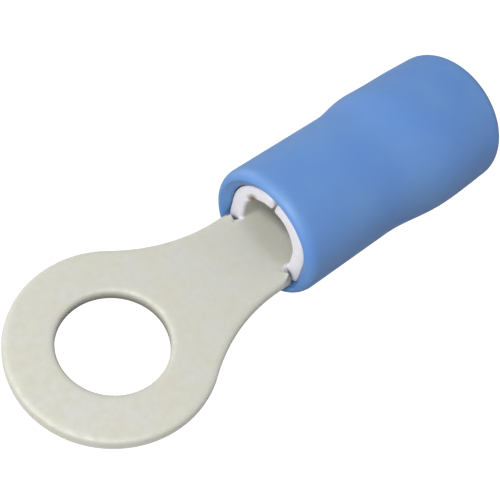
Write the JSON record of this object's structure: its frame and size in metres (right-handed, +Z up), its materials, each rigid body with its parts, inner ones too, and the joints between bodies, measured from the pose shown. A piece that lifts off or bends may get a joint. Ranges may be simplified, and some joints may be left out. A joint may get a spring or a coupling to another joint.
{
  "type": "insulated ring terminal",
  "caption": "Insulated ring terminal: a flat stamped ring tongue that rolls into a crimp barrel, with a flared insulating sleeve gripped on the barrel.",
  "frame": {"origin": "centre of the stud hole, at the tongue's underside, which is the face that seats on a terminal block", "axes": "+X along the terminal from the ring to the wire entry, +Z up through the stud hole, away from the seating face; the barrel's seam is at the top"},
  "size_m": [0.0227, 0.008, 0.0061],
  "materials": {
    "tinned_copper": "satin",
    "blue_pvc": "satin"
  },
  "bodies": {
    "root": {"terminal": "tinned_copper", "sleeve": "blue_pvc"}
  },
  "joints": []
}
